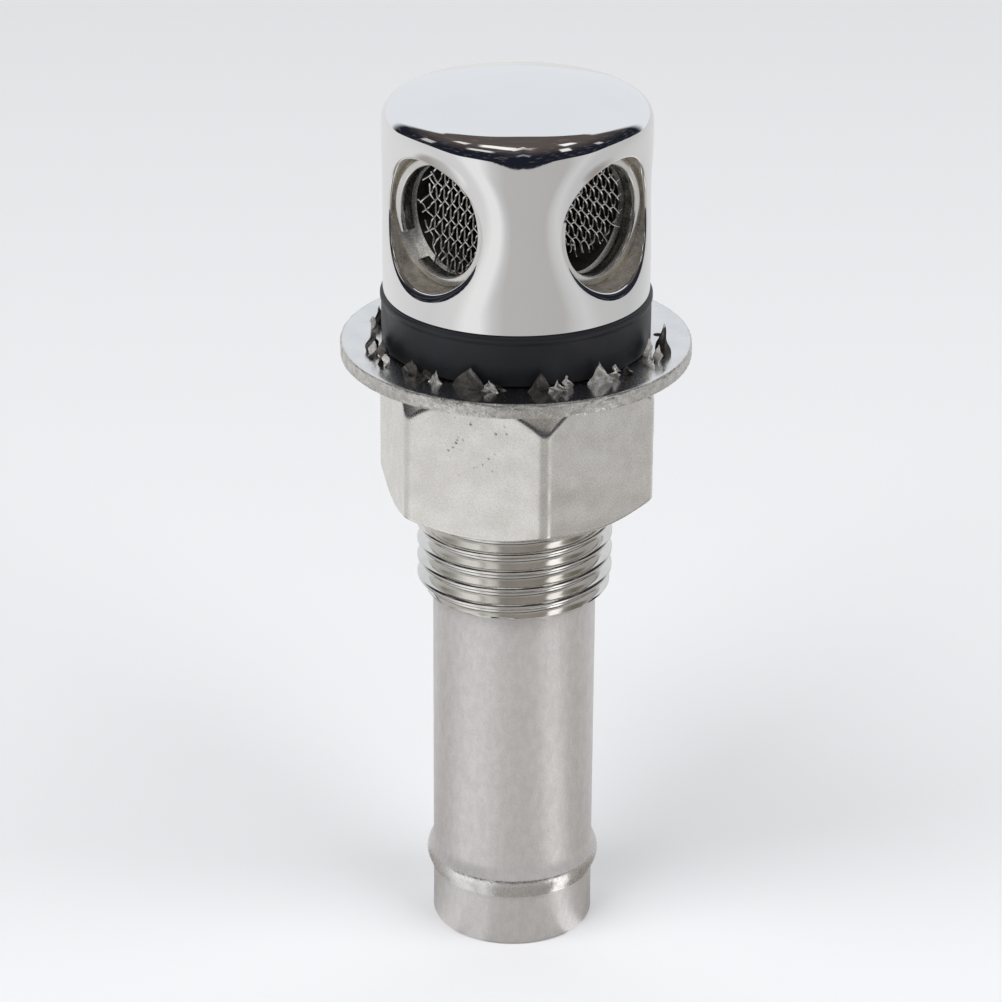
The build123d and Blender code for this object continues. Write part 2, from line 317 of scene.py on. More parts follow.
plainFinish = {"stretch": (1, 1, 1), "drawn": (1, 1, 1), "grainTone": 0.0, "grainColour": (0.3, 0.29, 0.28)}
finishKeys = ("colour", "second", "rough", "metallic", "patchScale", "wave", "grainScale", "grain")
finishRows = {
    # two colours, roughness from and to, metallic, then scale and height in millimetres of the waves and the grain
    "polishedSteel": ((0.93, 0.93, 0.94), (0.95, 0.945, 0.94), (0.03, 0.07), 1.0, 130, 0.02, 2600, 0.0004),
    "castSteel": ((0.73, 0.705, 0.69), (0.80, 0.775, 0.76), (0.36, 0.52), 0.5, 1500, 0.04, 5200, 0.03),
    "wornSteel": ((0.80, 0.78, 0.76), (0.90, 0.88, 0.86), (0.16, 0.34), 0.85, 700, 0.08, 4200, 0.012),
    "threadSteel": ((0.72, 0.705, 0.675), (0.82, 0.805, 0.78), (0.07, 0.14), 1.0, 260, 0.012, 5200, 0.002),
    "portSteel": ((0.54, 0.50, 0.44), (0.80, 0.75, 0.66), (0.25, 0.42), 0.7, 1100, 0.12, 5200, 0.01),
    "seatSteel": ((0.86, 0.84, 0.80), (0.98, 0.97, 0.95), (0.16, 0.3), 0.45, 900, 0.1, 6000, 0.0005),
    # near-black steel: painted shade inside the cap's throat and chamber
    "shadedInnerSteel": ((0.035, 0.033, 0.032), (0.07, 0.065, 0.06), (0.4, 0.6), 0.8, 700, 0.05, 6000, 0.01),
    "ringSteel": ((0.82, 0.81, 0.785), (0.88, 0.87, 0.85), (0.14, 0.24), 0.95, 300, 0.01, 6000, 0.0004),
    # a darker copy of ringSteel: painted shade on the ring's inside and back
    "ringShadedSide": ((0.20, 0.19, 0.17), (0.34, 0.32, 0.29), (0.2, 0.35), 0.9, 900, 0.03, 6000, 0.001),
    "wireSteel": ((0.90, 0.88, 0.85), (0.97, 0.96, 0.94), (0.12, 0.25), 1.0, 900, 0.02, 9000, 0.003),
    "nutSteel": ((0.80, 0.775, 0.74), (0.90, 0.875, 0.84), (0.24, 0.29), 0.9, 420, 0.014, 3800, 0.0008),
    "plateSteel": ((0.80, 0.80, 0.80), (0.87, 0.865, 0.86), (0.16, 0.28), 1.0, 350, 0.03, 4200, 0.003),
    "rimSteel": ((0.62, 0.605, 0.575), (0.80, 0.785, 0.76), (0.22, 0.4), 0.85, 1500, 0.1, 5200, 0.03),
    # lit and shaded copies of the torn leaves' steel: painted highlights and painted shade
    "litLeafSteel": ((0.70, 0.68, 0.64), (0.98, 0.97, 0.95), (0.12, 0.3), 0.5, 1500, 0.14, 7000, 0.004),
    "shadedLeafSteel": ((0.17, 0.165, 0.16), (0.34, 0.325, 0.30), (0.25, 0.42), 0.8, 900, 0.08, 7000, 0.006),
}
nutMarks = {
    "colour": (0.50, 0.47, 0.42),
    "scale": 1900,
    "size": (0.08, 0.32),
    "rare": (0.50, 0.60),
    "depth": 0.03,
    "place": (-0.0038, -0.0115, 0.0565),
    "reach": (0.0046, 0.0026, 0.06, 1.0),  # they thin out between these distances
}
finishExtras = {
    "castSteel": {"grainTone": 0.10, "grainColour": (0.42, 0.40, 0.38), "drawn": (1, 1, 0.5)},
    "threadSteel": {"stretch": (1, 1, 5)},
    "portSteel": {"grainTone": 0.2, "grainColour": (0.24, 0.22, 0.19)},
    "nutSteel": {"grainTone": 0.02, "marks": nutMarks},
    "rimSteel": {"grainTone": 0.2, "grainColour": (0.34, 0.33, 0.31)},
}
looks = {name: metal(name, row) for name, row in finishRows.items()}

rubberLook = {
    "colour": (0.015, 0.0160, 0.0195),
    "second": (0.028, 0.030, 0.0355),
    "dust": (0.09, 0.09, 0.09),
    "smearScale": 160,
    "dustScale": 2600,
    "rough": (0.36, 0.52),
    "smearHeight": 0.1,
    "dustHeight": 0.01,
}


def rubberFinish():
    material, tree = newMaterial("gasketRubber")
    coords = addNode(tree, "TexCoord").outputs["Object"]
    smear = noise(tree, coords, rubberLook["smearScale"])
    dust = noise(tree, coords, rubberLook["dustScale"])
    colour = mixColour(tree, softStep(tree, smear, 0.4, 0.75), rubberLook["colour"], rubberLook["second"])
    colour = mixColour(tree, softStep(tree, dust, 0.70, 0.80, 0.0, 0.35), colour, rubberLook["dust"])
    rough = softStep(tree, smear, 0.3, 0.7, *rubberLook["rough"])
    normal = bumpFrom(tree, dust, rubberLook["dustHeight"], bumpFrom(tree, smear, rubberLook["smearHeight"]))
    shader = addNode(tree, "BsdfPrincipled", {"Base Color": colour, "Roughness": rough,
                                              "Specular IOR Level": 0.4, "Normal": normal})
    addNode(tree, "OutputMaterial", {"Surface": shader.outputs[0]})
    return material


looks["rubber"] = rubberFinish()


def outwardOf(azimuth):
    # the level direction away from the axis: the azimuth's sine along X and minus its cosine along Y
    turn = np.radians(azimuth)
    return np.stack([np.sin(turn), -np.cos(turn), np.zeros_like(turn)], axis=-1)


def sidewaysOf(azimuth):
    # a quarter turn on from outwardOf, to the right as seen from outside
    turn = np.radians(azimuth)
    return np.stack([np.cos(turn), np.sin(turn), np.zeros_like(turn)], axis=-1)


def roundPoint(azimuth, radius, height):
    # a point on a surface of revolution: radius times the outward direction, lifted to the height
    azimuth, radius, height = np.broadcast_arrays(np.asarray(azimuth, float), radius, height)
    points = outwardOf(azimuth) * radius[..., None]
    points[..., 2] = height
    return points


def portPoint(azimuth, across, height, outward):
    # a point in a port's frame: outward and across along the port's two directions, lifted to the height
    across, height, outward = np.broadcast_arrays(np.asarray(across, float), height, outward)
    azimuth = np.full(across.shape, float(azimuth))
    points = outwardOf(azimuth) * outward[..., None] + sidewaysOf(azimuth) * across[..., None]
    points[..., 2] = height
    return points


def softMinimum(first, second, width):
    # the smaller of two distances, less a quarter of the width times the square of how near they are
    near = np.clip(1 - np.abs(first - second) / width, 0, 1)
    return np.minimum(first, second) - near**2 * width / 4


def patchBorder(turns, heights):
    # once round a patch: along its low edge, up the right side, back along its high edge, down the left side
    sides, ends = len(heights) - 1, len(turns) - 1
    across = np.concatenate([turns[:-1], np.full(sides, turns[-1]), turns[:0:-1], np.full(sides, turns[0])])
    levels = np.concatenate([np.full(ends, heights[0]), heights[:-1], np.full(ends, heights[-1]), heights[:0:-1]])
    return across, levels


def newShell():
    return {"points": [], "faces": [], "finish": [], "count": 0}


def addGrid(shell, points, finish=0, wrap=True):
    # rows of points become quads; wrap joins the last column to the first
    rows, columns = points.shape[:2]
    index = shell["count"] + np.arange(rows * columns).reshape(rows, columns)
    if wrap:
        index = np.concatenate([index, index[:, :1]], axis=1)
    quads = np.stack([index[:-1, :-1], index[:-1, 1:], index[1:, 1:], index[1:, :-1]], axis=-1).reshape(-1, 4)
    shell["points"].append(points.reshape(-1, 3))
    shell["faces"].append(quads)
    shell["finish"].append(np.full(len(quads), finish))
    shell["count"] += rows * columns


def addProfile(shell, around, profile, finish=0):
    # rows of radius and height carried round the axis
    radii, levels = np.array(profile, float).T[:, :, None]
    addGrid(shell, roundPoint(around, radii, levels), finish)


def finishShell(name, shell, finishes, body, stands=(), sharp=38.0):
    # skins become one mesh: doubles are merged, so neighbouring skins share their edges, and faces turn outwards
    mesh = bpy.data.meshes.new(name)
    points = np.concatenate(shell["points"]) * 0.001
    faces = np.concatenate(shell["faces"])
    mesh.vertices.add(len(points))
    mesh.vertices.foreach_set("co", points.ravel())
    mesh.loops.add(faces.size)
    mesh.loops.foreach_set("vertex_index", faces.ravel())
    mesh.polygons.add(len(faces))
    mesh.polygons.foreach_set("loop_start", np.arange(0, faces.size, 4))
    mesh.polygons.foreach_set("loop_total", np.full(len(faces), 4))
    mesh.polygons.foreach_set("material_index", np.concatenate(shell["finish"]))
    mesh.update(calc_edges=True)
    work = bmesh.new()
    work.from_mesh(mesh)
    bmesh.ops.remove_doubles(work, verts=work.verts, dist=2e-6)
    bmesh.ops.dissolve_degenerate(work, edges=work.edges, dist=1e-7)
    bmesh.ops.recalc_face_normals(work, faces=work.faces)
    loose = sum(1 for edge in work.edges if len(edge.link_faces) != 2)
    for face in work.faces:
        face.smooth = True
    work.to_mesh(mesh)
    work.free()
    mesh.set_sharp_from_angle(angle=math.radians(sharp))
    for finish in finishes:
        mesh.materials.append(looks[finish])
    piece = addObject(name, mesh)
    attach(piece, body)
    if stands:
        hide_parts(*stands)
    print(name, len(mesh.polygons), "faces,", loose, "open or shared edges")


cap = {
    "radius": 12.7,
    "bottom": 67.64,
    "apex": 87.9,
    "domeRadius": 43.36,
    "rimRound": 2.0,
    "rimSplit": 42.0,  # elevation on the rim's round where the wall's patches end
    "rimBand": 1.2,  # closer rows from this far below the rim's centre
    "footRound": 0.1,
    "portMiddle": 2.15,
    "portSpacing": 98.3,
    "portHeight": 76.64,
    "portRadius": 6.35,
    "lipWidth": (0.24, 0.9),  # at the top and sides, and what it gains at the bottom
    "scoopFloor": 10.88,  # distance of the scoop's middle from the fitting's axis
    "scoopRise": 0.017,
    "scoopLean": -0.064,
    "scoopTop": 0.022,  # the scoop turns out towards the rim above the port
    "scoopShift": (0.25, 0.75, 1.6),  # outside the port it is shallower, more so below the port, up to a limit
    "scoopBlend": (1.0, 0.8, 0.4, 8.0),  # width of its soft edge, gain below, loss above, over what height
    "pillarSoft": 0.045,  # the pillar between the ports is worn back above its start
    "pillarStart": 83.0,
    "pillarWidth": 13.0,
    "floorDepth": 9.62,
    "floorRound": 0.08,
    "seatRadius": 6.16,
    "shoulderDepth": 7.9,
    "shoulderRadius": 5.31,
    "throatRadius": 4.2,
    "chamberRadius": 6.2,
    "chamberTop": 83.24,
    "spigotRadius": 8.02,
    "spigotTop": 68.99,
    "topColumns": 64,
    "lowerRows": 30,
    "upperRows": 24,
    "backColumns": 110,
    "gridRows": 22,
    "rimRows": 14,
    "domeRows": 40,
}
halfSpacing = cap["portSpacing"] / 2
bearings = {"left": cap["portMiddle"] - halfSpacing, "right": cap["portMiddle"] + halfSpacing}


def rimPlace():
    # the rim's round touches the wall and the dome: the height of its centre follows from the right triangle
    reach = cap["radius"] - cap["rimRound"]
    domeCentre = cap["apex"] - cap["domeRadius"]
    rise = math.sqrt((cap["domeRadius"] - cap["rimRound"]) ** 2 - reach**2)
    return reach, domeCentre + rise, domeCentre


rimReach, rimHeight, domeCentre = rimPlace()
# elevation of the normal where the dome starts
rimEnd = math.degrees(math.atan2(rimHeight - domeCentre, rimReach))


def capRadius(height):
    # the plain outside's radius at a height: the wall, less a quarter circle at the foot and at the rim
    foot = np.clip((cap["bottom"] + cap["footRound"] - height) / cap["footRound"], 0, 1)
    rim = np.clip((height - rimHeight) / cap["rimRound"], 0, 0.999)
    wall = cap["radius"] - cap["footRound"] * (1 - np.sqrt(1 - foot**2))
    return wall - cap["rimRound"] * (1 - np.sqrt(1 - rim**2))


def scoopDepth(across, up):
    # a saddle: square of the height less square of the distance across, plus a lean, then out to the rim
    turned = cap["scoopTop"] * np.clip(up - 1, 0, 11) ** 2
    return cap["scoopFloor"] + cap["scoopRise"] * (up**2 - across**2) + cap["scoopLean"] * up + turned


def capPoint(azimuth, radius, height):
    # the plain outside, worn at the pillar by a bell curve, then the soft minimum of that and the scoop's depth
    azimuth, radius, height = np.broadcast_arrays(np.asarray(azimuth, float), radius, height)
    fade = np.clip(radius / cap["radius"], 0, 1) ** 4
    high = np.clip(height - cap["pillarStart"], 0, 4) ** 2
    soft = cap["pillarSoft"] * high * np.exp(-(((azimuth - cap["portMiddle"]) / cap["pillarWidth"]) ** 2))
    radius = radius - soft * fade
    points = roundPoint(azimuth, radius, height)
    shift, lowShift, lowLimit = cap["scoopShift"]
    blendWidth, gain, loss, span = cap["scoopBlend"]
    for bearing in bearings.values():
        turn = np.radians(azimuth - bearing)
        across, outward = radius * np.sin(turn), radius * np.cos(turn)
        up = height - cap["portHeight"]
        low = np.clip(-up / cap["portRadius"], 0, lowLimit)
        scoop = scoopDepth(across, up) + shift + lowShift * low**1.5
        width = blendWidth + gain * np.clip(-up / span, 0, 1) - loss * np.clip(up / span, 0, 1)
        cut = softMinimum(outward, scoop, width)
        near = (np.abs(azimuth - bearing) <= halfSpacing + 1e-6) & (cut < outward)
        move = np.where(near, cut - outward, 0.0)
        points = points + outwardOf(np.full(azimuth.shape, bearing)) * move[..., None]
    return points


def portRing(bearing, angles, radii, depths):
    # rows round a port's axis, each with its radius and its depth
    return portPoint(bearing, radii * np.cos(angles), cap["portHeight"] + radii * np.sin(angles), depths)


def addPort(shell, bearing, turns, heights, chamberHeights):
    middle, bore, chamber = cap["portHeight"], cap["portRadius"], cap["chamberRadius"]
    shoulder, shoulderDepth, throat = cap["shoulderRadius"], cap["shoulderDepth"], cap["throatRadius"]
    # skin: straight rows from the lip's edge to the patch's border, laid on the cap's outside
    borderAzimuths, borderHeights = patchBorder(turns, heights)
    borderAcross = capRadius(borderHeights) * np.sin(np.radians(borderAzimuths))
    borderUp = borderHeights - middle
    angles = np.arctan2(borderUp, borderAcross)
    right, up = np.cos(angles), np.sin(angles)
    lip, lipGain = cap["lipWidth"]
    lipRadius = bore + (lip + lipGain * np.clip(-up, 0, 1) ** 1.5)
    rows = np.linspace(0, 1, cap["gridRows"])[:, None] ** 1.35
    across = lipRadius * right + (borderAcross - lipRadius * right) * rows
    level = lipRadius * up + (borderUp - lipRadius * up) * rows + middle
    radius = capRadius(level)
    azimuth = bearing + np.degrees(np.arcsin(np.clip(across / radius, -1, 1)))
    addGrid(shell, capPoint(azimuth, radius, level))
    # lip: a quadratic curve from the skin to the bore, with its control point on the skin over the bore's edge
    start = capPoint(azimuth[0], radius[0], level[0])
    boreLevel = bore * up + middle
    boreRadius = capRadius(boreLevel)
    control = capPoint(bearing + np.degrees(np.arcsin(bore * right / boreRadius)), boreRadius, boreLevel)
    edgeDepth = scoopDepth(bore * right, bore * up)
    end = portRing(bearing, angles, bore, edgeDepth)
    weight = np.linspace(0, 1, 11)[:, None, None]
    addGrid(shell, start * (1 - weight) ** 2 + 2 * control * weight * (1 - weight) + end * weight**2)
    # bore wall, then the port's floor, and the ring's seat with the screen's shoulder, as rows of radius and depth
    floor, seat, bevel = cap["floorDepth"], cap["seatRadius"], cap["floorRound"]
    wallDepth = edgeDepth + (floor + bevel - edgeDepth) * np.linspace(0, 1, 7)[:, None]
    addGrid(shell, portRing(bearing, angles, bore, wallDepth), 1)
    floorRows = [(bore, floor + bevel), (bore - 0.06, floor), (6.26, floor), (seat + 0.04, floor),
                 (seat, floor - 0.05)]
    seatRows = [(seat, floor - 0.05), (seat, 9.0), (seat, 8.4), (seat, shoulderDepth), (shoulder, shoulderDepth)]
    for finish, profile in ((1, floorRows), (2, seatRows)):
        radii, depths = np.array(profile).T[:, :, None]
        addGrid(shell, portRing(bearing, angles, radii, depths), finish)
    # throat, down to the chamber's wall, and that wall round it, in the near-black painted shade finish
    share = np.linspace(0, 1, 9)[:, None]
    innerDepth = np.sqrt(chamber**2 - (throat * right) ** 2)
    depth = shoulderDepth + (innerDepth - shoulderDepth) * share
    addGrid(shell, portRing(bearing, angles, shoulder + (throat - shoulder) * share, depth), 3)
    wallTurns, wallLevels = patchBorder(turns, chamberHeights)
    innerTurn = np.degrees(np.arcsin(throat * right / chamber))
    innerLevel = middle + throat * up
    blend = np.linspace(0, 1, 6)[:, None]
    wallTurns = innerTurn + (wallTurns - innerTurn) * blend
    addGrid(shell, roundPoint(bearing + wallTurns, chamber, innerLevel + (wallLevels - innerLevel) * blend), 3)


def buildCap():
    shell = newShell()
    bottom, spigot, socket, chamber = (cap[key] for key in ("bottom", "spigotRadius", "spigotTop", "chamberRadius"))
    rim, foot, dome, roof = (cap[key] for key in ("rimRound", "footRound", "domeRadius", "chamberTop"))
    high = rimHeight + rim * math.sin(math.radians(cap["rimSplit"]))
    band = rimHeight - cap["rimBand"]
    lowerHeights = np.linspace(bottom + foot, band, cap["lowerRows"])
    heights = np.concatenate([lowerHeights, np.linspace(band, high, cap["upperRows"])[1:]])
    chamberHeights = np.linspace(socket, roof, len(heights))
    turns = np.linspace(-halfSpacing, halfSpacing, cap["topColumns"] + 1)
    left, right = bearings["left"], bearings["right"]
    for bearing in (left, right):
        addPort(shell, bearing, turns, heights, chamberHeights)
    backTurns = np.linspace(right + halfSpacing, left - halfSpacing + 360, cap["backColumns"] + 1)
    addGrid(shell, capPoint(backTurns[None, :], capRadius(heights)[:, None], heights[:, None]), wrap=False)
    # the chamber's wall behind, in the near-black painted shade finish
    addGrid(shell, roundPoint(backTurns[None, :], chamber, chamberHeights[:, None]), 3, wrap=False)
    # rim and dome, from the wall's top row to the apex
    around = np.concatenate([left + turns[:-1], right + turns[:-1], backTurns[:-1]])[None, :]
    rimTurns = np.radians(np.linspace(cap["rimSplit"], rimEnd, cap["rimRows"]))
    domeTurns = np.radians(rimEnd + (90 - rimEnd) * np.linspace(0, 1, cap["domeRows"])[1:])
    radii = np.concatenate([rimReach + rim * np.cos(rimTurns), dome * np.cos(domeTurns)])
    levels = np.concatenate([rimHeight + rim * np.sin(rimTurns), domeCentre + dome * np.sin(domeTurns)])
    radii[-1] = 0.0
    addGrid(shell, capPoint(around, radii[:, None], levels[:, None]))
    # foot, underside, spigot socket and the chamber's roof, the roof in the near-black painted shade finish
    footTurns = np.radians(np.linspace(0, 90, 6))
    footRadii = cap["radius"] - foot * (1 - np.cos(footTurns))
    footLevels = bottom + foot * (1 - np.sin(footTurns))
    addGrid(shell, capPoint(around, footRadii[:, None], footLevels[:, None]))
    under = [(footRadii[-1], bottom), (10.5, bottom), (spigot, bottom), (spigot, socket), (chamber, socket)]
    addProfile(shell, around, under, 1)
    addProfile(shell, around, [(chamber, roof), (4.0, roof), (2.0, roof), (0.0, roof)], 3)
    finishes = ("polishedSteel", "portSteel", "seatSteel", "shadedInnerSteel")
    finishShell("domedCap", shell, finishes, "fitting", ["vent_cap"])


buildCap()

ring = {
    "outer": 6.14,
    "inner": 5.24,
    "back": 8.46,
    "face": 9.95,
    "groove": 0.09,  # the ring is wound in two turns, and a groove shows between them
    "gap": 33.0,
    "gapAngles": {"left": 221.0, "right": 150.0},
    "steps": 150,
    "profilePoints": 44,
    "faceColumns": 21,  # over the outside and the face; the rest, the inside and back, has a darker copy of the ring's steel as painted shade
}


def ringProfile():
    # two rounded turns, one behind the other: a superellipse, pinched at its middle by a bell curve
    middle, half = (ring["outer"] + ring["inner"]) / 2, (ring["outer"] - ring["inner"]) / 2
    centre, tall = (ring["face"] + ring["back"]) / 2, (ring["face"] - ring["back"]) / 2
    turn = np.linspace(0, 2 * np.pi, ring["profilePoints"], endpoint=False)
    across = np.sign(np.cos(turn)) * np.abs(np.cos(turn)) ** 0.32
    along = np.sign(np.sin(turn)) * np.abs(np.sin(turn)) ** 0.5
    pinch = 1 - ring["groove"] / half * np.exp(-((along / 0.09) ** 2))
    return middle + half * across * pinch, centre + tall * along


def buildRing(side):
    # the profile is carried round the port's axis, save for the gap
    shell = newShell()
    radii, depths = ringProfile()
    middle, centre = radii.mean(), depths.mean()
    start = ring["gapAngles"][side] + ring["gap"] / 2
    turns = np.radians(start + np.linspace(0, 360 - ring["gap"], ring["steps"]))
    # the ends close in three rounded rows that shrink to the profile's middle
    extra = np.radians(np.array([1.5, 1.2, 0.7]))
    shrink = np.array([0.0, 0.55, 0.85])
    turns = np.concatenate([turns[0] - extra, turns, turns[-1] + extra[::-1]])
    scale = np.concatenate([shrink, np.ones(ring["steps"]), shrink[::-1]])[:, None]
    radius, depth = middle + (radii - middle) * scale, centre + (depths - centre) * scale
    points = portRing(bearings[side], turns[:, None], radius, depth)
    split = ring["faceColumns"]
    addGrid(shell, points[:, :split + 1], wrap=False)
    # inside and back in the darker copy: painted shade
    addGrid(shell, np.concatenate([points[:, split:], points[:, :1]], axis=1), 1, wrap=False)
    finishShell(side + "Ring", shell, ("ringSteel", "ringShadedSide"), "fitting", ["port_ring_" + side])


for portSide in bearings:
    buildRing(portSide)

screen = {
    "wireRadius": 0.098,
    "crimp": 0.16,
    "lattice": {  # steps between crossings, across and up, for each layer
        "left": ((0.44, -0.825), (0.59, 0.825)),
        "right": ((0.764, -1.10), (0.523, 0.45)),
    },
    "depth": 8.18,
    "radius": 5.5,
    "sides": 7,
    "step": 0.11,
    "shortest": 0.8,
    "looseLength": {"left": 2.3, "right": 1.1},
    "clip": {"left": (3.2, 0.2, 7.0), "right": (0.8, 3.2, 6.6)},  # each cut edge's centre and radius
    "seed": 5,
}


def wirePaths(side):
    # each wire runs straight along one step of the lattice, to the shoulder or the screen's cut edge,
    # and its lift is a cosine with one half wave per crossing
    random = np.random.default_rng(screen["seed"] + (side == "right"))
    clipAcross, clipUp, clipRadius = screen["clip"][side]
    clipCentre = np.array([clipAcross, clipUp])
    steps = [np.array(step) for step in screen["lattice"][side]]
    for layer in (0, 1):
        own, other = steps[layer], steps[1 - layer]
        length = float(np.hypot(*own))
        along = own / length
        square = np.array([-along[1], along[0]])
        count = int(screen["radius"] / abs(float(other @ square)))
        for number in range(-count, count + 1):
            offset, slip = float(other @ square) * number, float(other @ along) * number
            reach = math.sqrt(max(screen["radius"] ** 2 - offset**2, 0.0))
            middle, miss = float(clipCentre @ along), offset - float(clipCentre @ square)
            if abs(miss) >= clipRadius:
                continue
            clipReach = math.sqrt(clipRadius**2 - miss**2)
            low = max(-reach, middle - clipReach + random.uniform(-0.4, 0.5))
            high = min(reach, middle + clipReach - random.uniform(-0.4, 0.5))
            if high - low < screen["shortest"]:
                continue
            free = (low > -reach + 0.05, high < reach - 0.05)
            travel = np.linspace(low, high, max(8, int((high - low) / screen["step"])))
            lift = (1, -1)[layer] * screen["crimp"] * np.cos(np.pi * ((travel - slip) / length + number))
            yield along, square, offset, travel, lift, free, random.uniform(-1, 1, 4)


def buildScreen(side):
    # a wire is a small ring carried along its path; a cut end leaves the weave in a curve
    shell = newShell()
    ringTurn = np.linspace(0, 2 * np.pi, screen["sides"], endpoint=False)
    ringAcross, ringUp = np.cos(ringTurn)[None, :, None], np.sin(ringTurn)[None, :, None]
    for along, square, offset, travel, lift, free, stray in wirePaths(side):
        steps = len(travel)
        drift = np.zeros(steps)
        for end, distance in enumerate((travel - travel[0], travel[-1] - travel)):
            if free[end]:
                bend, rise = stray[2 * end:2 * end + 2]
                loose = np.clip(1 - distance / screen["looseLength"][side], 0, 1) ** 1.6
                drift += 0.8 * bend * loose
                lift = lift * (1 - 0.6 * loose) + (0.1 + 0.45 * abs(rise)) * loose
        flat = along[None, :] * travel[:, None] + square[None, :] * (offset + drift)[:, None]
        centre = portPoint(bearings[side], flat[:, 0], cap["portHeight"] + flat[:, 1], screen["depth"] + lift)
        tangent = np.gradient(centre, axis=0)
        tangent /= np.linalg.norm(tangent, axis=1, keepdims=True)
        first = np.cross(tangent, outwardOf(np.full(steps, bearings[side])))
        first /= np.linalg.norm(first, axis=1, keepdims=True)
        second = np.cross(first, tangent)
        size = np.full(steps, screen["wireRadius"])
        size[0] = size[-1] = 0.0
        centre[0], centre[-1] = centre[1] - tangent[1] * 0.02, centre[-2] + tangent[-2] * 0.02
        tube = centre[:, None] + size[:, None, None] * (ringAcross * first[:, None] + ringUp * second[:, None])
        addGrid(shell, tube)
    finishShell(side + "Screen", shell, ("wireSteel",), "fitting", ["screen_" + side], sharp=60)


for portSide in bearings:
    buildScreen(portSide)

body = {
    "tailRadius": 8.0,
    "passage": 6.2,
    "footRound": 0.35,
    "beadHeight": 7.0,
    "beadRise": 0.63,
    "beadHalf": 1.75,
    "beadFade": 0.35,
    "beadSpan": (4.6, 9.4),  # closer rows between these heights
    "crest": (5.5, 7.5),  # the bead is worn smooth between these heights
    "unevenness": 0.03,
    "largest": 0.65,
    "threadRadius": 9.525,
    "threadPitch": 25.4 / 14,
    "threadDepth": 1.08,
    "threadCrest": (0.16, 0.74),  # shares of half a pitch: the crest, then the flank
    "flankRound": 0.06,
    "threadStart": 36.6,
    "threadEnd": 66.44,
    "leadIn": 0.9,
    "collarTop": 67.64,
    "spigotRadius": 8.0,
    "spigotTop": 68.99,
    "columns": 128,
    "threadRows": 18,
    "seed": 11,
}


def wander(azimuth, height, seed, size):
    # a smooth random field: eight sine waves round and along the tube, each with its own phase
    random = np.random.default_rng(seed)
    total = 0.0
    for _ in range(8):
        turns, rise, phase = random.integers(1, 9), random.uniform(0.3, 2.4), random.uniform(0, 6.28)
        total = total + np.sin(np.radians(azimuth) * turns + height * rise + phase)
    return total * size / 8


def buildBody():
    shell = newShell()
    tube, start, end, outer = (body[key] for key in ("tailRadius", "threadStart", "threadEnd", "threadRadius"))
    around = np.linspace(0, 360, body["columns"], endpoint=False)[None, :]
    # tail: foot round, tube and bead as a profile carried round the axis, with a slight wander like a casting;
    # the bead's swell is one wave of a cosine
    footTurns = np.radians(np.linspace(0, 90, 6))
    footRadii = tube - body["footRound"] * (1 - np.sin(footTurns))
    footLevels = body["footRound"] * (1 - np.cos(footTurns))
    beadLow, beadHigh = body["beadSpan"]
    parts = ((body["footRound"], beadLow, 14), (beadLow, beadHigh, 46), (beadHigh, start, 60))
    levels = np.concatenate([np.linspace(*part)[1:] for part in parts])
    swell = np.clip(np.abs(levels - body["beadHeight"]) / (body["beadHalf"] + body["beadFade"]), 0, 1)
    swell = body["beadRise"] * (0.5 + 0.5 * np.cos(np.pi * swell))
    rough = wander(around, levels[:, None], body["seed"], body["unevenness"])
    rough = rough * (0.35 + swell[:, None] / body["beadRise"]) - 0.012
    tail = np.minimum((tube + swell)[:, None] + rough, tube + body["largest"])
    tail[-1] = tube
    tail = np.concatenate([footRadii[:, None] + 0 * around, tail])
    levels = np.concatenate([footLevels, levels])
    crestLow, crestHigh = np.searchsorted(levels, body["crest"])
    for first, last, finish in ((0, crestLow, 0), (crestLow, crestHigh, 2), (crestHigh, len(levels) - 1, 0)):
        addGrid(shell, roundPoint(around, tail[first:last + 1], levels[first:last + 1, None]), finish)
    startRadius = outer - body["leadIn"]
    addProfile(shell, around, [(tube, start), (startRadius, start)], 1)
    # thread: rows follow the helix, one pitch up for each turn, and the radius is a rounded ridge of the row's phase
    perTurn = body["threadRows"]
    turns = int((end - start) / body["threadPitch"]) + 3
    rows = np.arange(turns * perTurn + 1)
    columns = np.arange(body["columns"] + 1)
    rise = body["threadPitch"] * (rows[:, None] / perTurn + columns[None, :] / body["columns"] - 1.5)
    height = np.clip(start + rise, start, end)
    phase = np.abs(((rows / perTurn) % 1.0) * 2 - 1)[:, None]
    crest, flankShare = body["threadCrest"]
    flank = np.clip((phase - crest) / flankShare, 0, 1)
    flank = flank - body["flankRound"] * np.sin(flank * 2 * np.pi)
    ridge = np.minimum(outer - body["threadDepth"] * flank, startRadius + (height - start))
    ridge = np.where(height <= start, startRadius, ridge)
    ridge = np.where(height >= end, outer, ridge)
    addGrid(shell, roundPoint(columns[None, :] * 360 / body["columns"], ridge, height), 1, wrap=False)
    # collar, spigot, passage and foot
    collar, spigot, spigotTop, passage = (body[key] for key in ("collarTop", "spigotRadius", "spigotTop", "passage"))
    addProfile(shell, around, [(outer, end), (outer, collar), (spigot, collar), (spigot, spigotTop),
                               (passage, spigotTop), (passage, 0.0), (footRadii[0], 0.0)])
    finishes = ("castSteel", "threadSteel", "wornSteel")
    finishShell("tailAndShank", shell, finishes, "fitting", ["vent_body"])


buildBody()

gasket = {
    "bottom": 62.6,
    "top": 67.62,
    "radius": 12.88,
    "lipRadius": 13.0,
    "bore": 9.545,
    "unevenness": 0.035,
    "columns": 160,
    "seed": 23,
}


